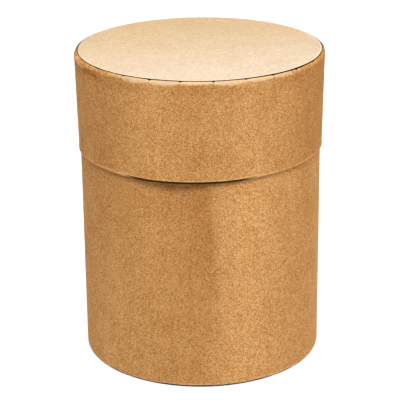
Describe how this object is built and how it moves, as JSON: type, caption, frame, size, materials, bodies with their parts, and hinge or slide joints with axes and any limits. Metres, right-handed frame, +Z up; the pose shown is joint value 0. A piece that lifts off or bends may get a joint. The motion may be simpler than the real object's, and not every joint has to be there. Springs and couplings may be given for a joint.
{
  "type": "fiber drum",
  "caption": "Round kraft fiberboard drum with crimped, turned-in ends and a telescoping slip lid, for packing and shipping dry goods.",
  "frame": {"origin": "centre of the base, on the floor that the drum stands on", "axes": "+Z up the drum's axis, towards the lid; the drum is alike all round, so X and Y are free"},
  "size_m": [0.2386, 0.2386, 0.3035],
  "materials": {
    "kraft_wall": "brown kraft paper over wound board, matt with a faint calendered sheen",
    "pale_kraft": "paler kraft-lined board, matt",
    "inside_board": "plain kraft board, matt"
  },
  "bodies": {
    "drum": {"body_wall": "kraft_wall", "bottom_inner_disc": "inside_board", "bottom_outer_disc": "pale_kraft"},
    "lid": {"lid_wall": "kraft_wall", "lid_inner_disc": "inside_board", "lid_outer_disc": "pale_kraft"}
  },
  "joints": [
    {"name": "lid_lift", "type": "slide", "parent": "drum", "child": "lid", "axis": [0, 0, 1], "range_m": [0, 0.15]}
  ]
}
